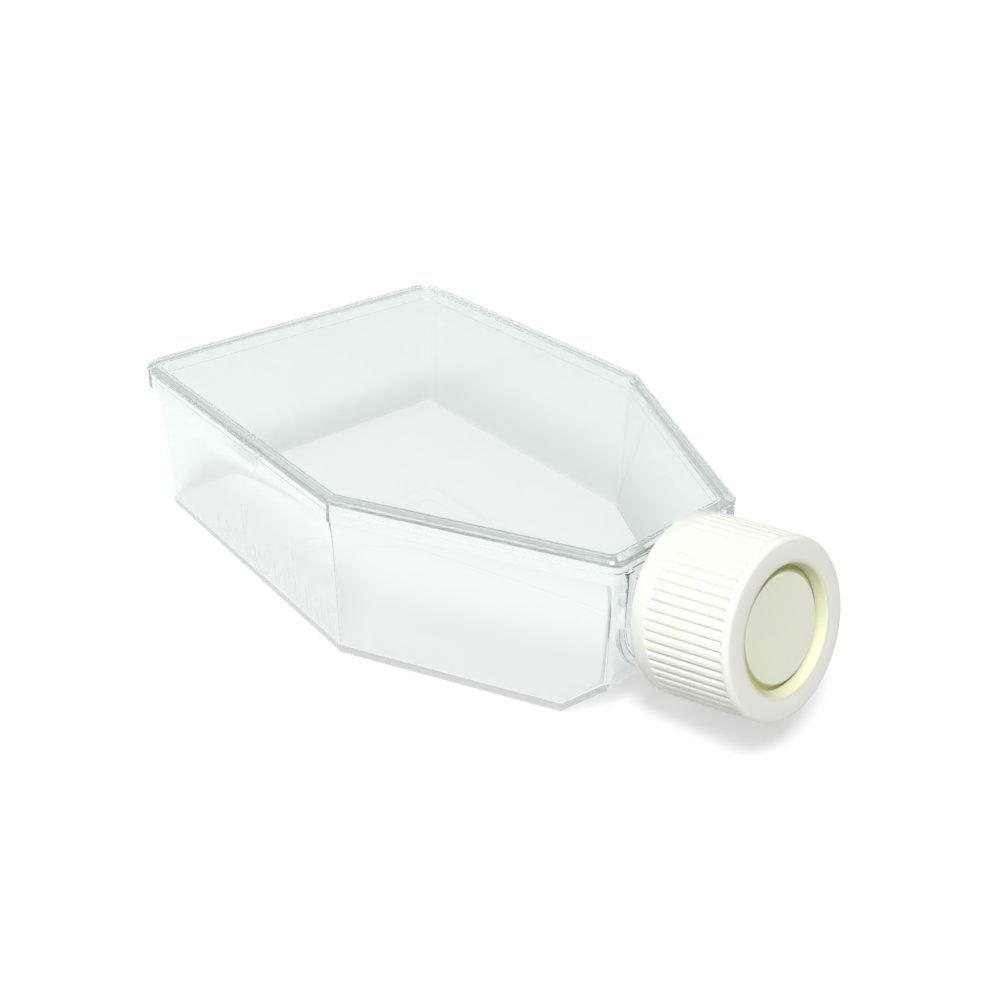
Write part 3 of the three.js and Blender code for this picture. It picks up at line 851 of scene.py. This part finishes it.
def clear_plastic(name, tint, edge_roughness):
    """Polished polystyrene with a faint green tint in each wall and a slow waviness from moulding. The floor,
    just above the ground, is nearly colourless. Faces that do not lie flat have the edge roughness as well.
    Rays that carry lamplight pass straight through and lose what a surface at their slant would reflect, so
    that what the plastic encloses is lit."""
    mat, tree, shader, output = material(name)
    space = coordinates(tree)
    height = components(tree, space["Object"])["Z"]
    above_floor = rise_mm(tree, height, FLOOR_TINT_TOP, WALL_TINT_BOTTOM)
    feed(tree, shader.inputs["Base Color"], mix_colour(tree, above_floor, (*FLOOR_TINT, 1), (*tint, 1)))
    shader.inputs["IOR"].default_value = INDEX["polystyrene"]
    shader.inputs["Transmission Weight"].default_value = 1
    flatness = math_node(tree, "ABSOLUTE", components(tree, space["Normal"])["Z"])
    edge = product(tree, rise(tree, flatness, start=0.95, end=0.75), edge_roughness)
    polish = spread(tree, noise(tree, space["Object"], scale=180, detail=4), low=0.0, high=0.03)
    feed(tree, shader.inputs["Roughness"], math_node(tree, "ADD", edge, polish))
    waviness = noise(tree, space["Object"], scale=45, detail=2)
    feed(tree, shader.inputs["Normal"], bump(tree, waviness, distance=0.0002, strength=0.12))
    slant = tree.nodes.new("ShaderNodeLayerWeight")
    slant.inputs["Blend"].default_value = 0.5
    grazing = math_node(tree, "POWER", slant.outputs["Facing"], GRAZING_POWER)
    see_through = tree.nodes.new("ShaderNodeBsdfTransparent")
    feed(tree, see_through.inputs["Color"], spread(tree, grazing, low=STRAIGHT_THROUGH, high=0.0))
    path = tree.nodes.new("ShaderNodeLightPath").outputs
    lighting = any_of(tree, path["Is Shadow Ray"], path["Is Diffuse Ray"])
    surface = mix_shader(tree, lighting, shader.outputs["BSDF"], see_through.outputs["BSDF"])
    feed(tree, output.inputs["Surface"], surface)
    absorb = tree.nodes.new("ShaderNodeVolumeAbsorption")
    absorb.inputs["Color"].default_value = (*INNER_TINT, 1)
    absorb.inputs["Density"].default_value = INNER_DENSITY
    feed(tree, output.inputs["Volume"], absorb.outputs["Volume"])
    return mat


def neck_coordinates(tree, place):
    """A point's place in the neck's own frame, in metres, and its distance from the neck axis."""
    mapping = tree.nodes.new("ShaderNodeMapping")
    mapping.vector_type = "TEXTURE"
    mapping.inputs["Location"].default_value = NECK_POINT * MM
    mapping.inputs["Rotation"].default_value = NECK_FRAME.to_euler()
    feed(tree, mapping.inputs["Vector"], place)
    across = tree.nodes.new("ShaderNodeVectorMath")
    across.operation = "MULTIPLY"
    across.inputs[1].default_value = (1, 1, 0)
    feed(tree, across.inputs[0], mapping.outputs["Vector"])
    return components(tree, mapping.outputs["Vector"]), length_of(tree, across.outputs["Vector"])


def painted_cap_shade(tree, place):
    """Painted shade on the cap: 1 on the wall of its window, a part of that in the grooves between its ribs,
    and 0 elsewhere.
    """
    at, radius = neck_coordinates(tree, place)
    angle = math_node(tree, "ARCTAN2", at["Y"], at["X"])
    turn = math_node(tree, "FRACT", product(tree, angle, RIB_COUNT / (2 * math.pi)))
    off_crown = math_node(tree, "ABSOLUTE", math_node(tree, "SUBTRACT", turn, 0.5))
    groove = rise(tree, off_crown, *SHADED_GROOVE)
    after_collar = rise_mm(tree, at["Z"], COLLAR_TOP, COLLAR_TOP + RIB_RUN_OUT)
    before_face = rise_mm(tree, at["Z"], RIBS_END, RIBS_END - RIB_RUN_OUT)
    side = rise_mm(tree, radius, *SHADED_SIDE)
    window = rise_mm(tree, radius, *SHADED_WINDOW)
    grooves = product(tree, after_collar, before_face, side, groove, GROOVE_SHARE)
    return math_node(tree, "MAXIMUM", grooves, window)


def painted_seal_shade(tree, place):
    """Painted shade on the seal: 1 on its flange, round its centre disc, and 0 on the disc."""
    radius = neck_coordinates(tree, place)[1]
    return rise_mm(tree, radius, *SHADED_FLANGE)


def ivory_plastic(name, colour, shade_colour, painted_shade, roughness):
    """Satin polyethylene, slightly translucent, with a fine moulded grain. Where the shade mask gives 1 it
    takes the darker, yellower shade colour, which is shade painted into its recesses."""
    mat, tree, shader, _ = material(name)
    place = coordinates(tree)["Object"]
    cloud = noise(tree, place, scale=90, detail=5)
    shades = []
    for base in (colour, shade_colour):
        darker = [channel * MOTTLE for channel in base]
        shades.append(mix_colour(tree, cloud, (*base, 1), (*darker, 1)))
    # Painted shade: the mask mixes the darker, yellower colour into the recesses where shade falls.
    feed(tree, shader.inputs["Base Color"], mix_colour(tree, painted_shade(tree, place), *shades))
    grain = noise(tree, place, scale=2500, detail=3)
    feed(tree, shader.inputs["Roughness"], spread(tree, grain, roughness - GRAIN, roughness + GRAIN))
    feed(tree, shader.inputs["Normal"], bump(tree, grain, distance=0.00004, strength=0.35))
    shader.inputs["IOR"].default_value = INDEX["polyethylene"]
    shader.inputs["Subsurface Weight"].default_value = 0.35
    shader.inputs["Subsurface Radius"].default_value = (1.0, 0.85, 0.45)
    shader.inputs["Subsurface Scale"].default_value = 0.0006
    return mat


# ------------------------------------------------------------------------------------------------- pieces

clear_wall = clear_plastic("clear_polystyrene", WALL_TINT, edge_roughness=0)
clear_sheet = clear_plastic("clear_polystyrene_sheet", SHEET_TINT, edge_roughness=0.2)
cap_ivory = ivory_plastic("cap_polyethylene", CAP_IVORY, CAP_PAINTED_SHADE, painted_cap_shade, roughness=0.42)
seal_ivory = ivory_plastic("seal_polyethylene", SEAL_IVORY, SEAL_PAINTED_SHADE, painted_seal_shade, roughness=0.4)

PIECES = [
    (flask_body, "flask", "flask_body", "clear_body", clear_wall),
    (top_plate, "flask", "top_plate", "clear_plate", clear_sheet),
    (screw_cap, "cap", "screw_cap", "ivory_cap", cap_ivory),
    (cap_seal, "seal", "cap_seal", "ivory_seal", seal_ivory),
]
for make, body, node, slot, finish in PIECES:
    piece = smooth(make())
    piece.data.materials.clear()
    piece.data.materials.append(finish)
    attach(piece, body)
    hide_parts(node)

# ------------------------------------------------------------------------------------------------- studio

WHITE = (1, 1, 1, 1)
TABLE_REACH = 4000
LIT_REACH = 160  # distance from the flask's middle where the table starts to fade
WHITE_REACH = 420  # and where it is plain white


def seen_rays(tree):
    """1 for rays that look: from the camera, off a gloss or through the clear plastic."""
    path = tree.nodes.new("ShaderNodeLightPath").outputs
    return any_of(tree, path["Is Camera Ray"], path["Is Glossy Ray"], path["Is Transmission Ray"])


def studio_floor():
    """A pale table. Near the flask it is lit and takes its shadow, and further off it turns plain white."""
    bm = bmesh.new()
    bmesh.ops.create_grid(bm, x_segments=1, y_segments=1, size=TABLE_REACH)
    floor = mesh_object("floor", bm)
    mat, tree, shader, _ = material("pale_floor")
    shader.inputs["Roughness"].default_value = 0.9
    shader.inputs["Specular IOR Level"].default_value = 0.0
    shader.inputs["Emission Color"].default_value = WHITE
    away = length_of(tree, coordinates(tree)["Object"])
    fade = rise_mm(tree, away, LIT_REACH, WHITE_REACH)
    seen = seen_rays(tree)
    feed(tree, shader.inputs["Base Color"], spread(tree, product(tree, fade, seen), low=0.6, high=0.0))
    glow = spread(tree, fade, low=0.51, high=1.0)
    feed(tree, shader.inputs["Emission Strength"], product(tree, glow, seen))
    floor.data.materials.append(mat)


def world_light():
    """A soft dome, brighter overhead, that looks plain white wherever it is seen."""
    world = bpy.data.worlds.new("studio")
    bpy.context.scene.world = world
    world.use_nodes = True
    tree = world.node_tree
    dome = tree.nodes["Background"]
    dome.inputs["Color"].default_value = WHITE
    up = components(tree, coordinates(tree)["Generated"])["Z"]
    feed(tree, dome.inputs["Strength"], spread(tree, up, low=0.11, high=0.26))
    plain_white = tree.nodes.new("ShaderNodeBackground")
    plain_white.inputs["Color"].default_value = WHITE
    surface = mix_shader(tree, seen_rays(tree), dome.outputs["Background"], plain_white.outputs["Background"])
    feed(tree, tree.nodes["World Output"].inputs["Surface"], surface)


def softbox(name, direction, distance, size, level):
    """A square lamp aimed at the flask. At level 1 it lights a white surface that faces it to plain white."""
    lamp = bpy.data.lights.new(name, "AREA")
    lamp.shape = "SQUARE"
    lamp.size = size
    lamp.energy = level * (math.pi * distance) ** 2
    towards = Vector(direction).normalized()
    obj = bpy.data.objects.new(name, lamp)
    obj.location = towards * distance
    obj.rotation_euler = towards.to_track_quat("Z", "Y").to_euler()
    bpy.context.scene.collection.objects.link(obj)


studio_floor()
world_light()
softbox("key_lamp", direction=(0.33, -0.42, 0.85), distance=2.5, size=0.55, level=0.74)
softbox("fill_lamp", direction=(-0.01, -0.635, 0.772), distance=2.0, size=0.6, level=0.24)

# ------------------------------------------------------------------------------------------------- camera

CAMERA_AZIMUTH = math.radians(49.59)
CAMERA_ELEVATION = math.radians(27.6)
CAMERA_ROLL = math.radians(0.3)
CAMERA_DISTANCE = 234.7
CAMERA_AIM = Vector((2.015, 8.87, 29.16))
CAMERA_LENS = 38.02
CAMERA_SHIFT = (0.02, -0.08)
MOST_BOUNCES = 128
MOST_TRANSPARENT = 32


def studio_camera():
    data = bpy.data.cameras.new("camera")
    data.lens = CAMERA_LENS
    data.sensor_width = 36
    data.shift_x, data.shift_y = CAMERA_SHIFT
    data.clip_start = 0.01
    data.clip_end = 20
    obj = bpy.data.objects.new("camera", data)
    level = math.cos(CAMERA_ELEVATION)
    back = Vector(
        (
            math.sin(CAMERA_AZIMUTH) * level,
            -math.cos(CAMERA_AZIMUTH) * level,
            math.sin(CAMERA_ELEVATION),
        )
    )
    obj.location = (CAMERA_AIM + back * CAMERA_DISTANCE) * MM
    turn = Matrix.Rotation(CAMERA_ROLL, 3, back)
    obj.rotation_euler = (turn @ back.to_track_quat("Z", "Y").to_matrix()).to_euler()
    bpy.context.scene.collection.objects.link(obj)
    bpy.context.scene.camera = obj


def ray_depths():
    """Enough bounces for light that runs along inside the clear walls. Lamplight takes shadow rays."""
    cycles = bpy.context.scene.cycles
    cycles.max_bounces = MOST_BOUNCES
    cycles.glossy_bounces = MOST_BOUNCES
    cycles.transmission_bounces = MOST_BOUNCES
    cycles.transparent_max_bounces = MOST_TRANSPARENT
    cycles.caustics_reflective = False
    cycles.caustics_refractive = False


studio_camera()
ray_depths()
bpy.context.scene.view_settings.view_transform = "Standard"
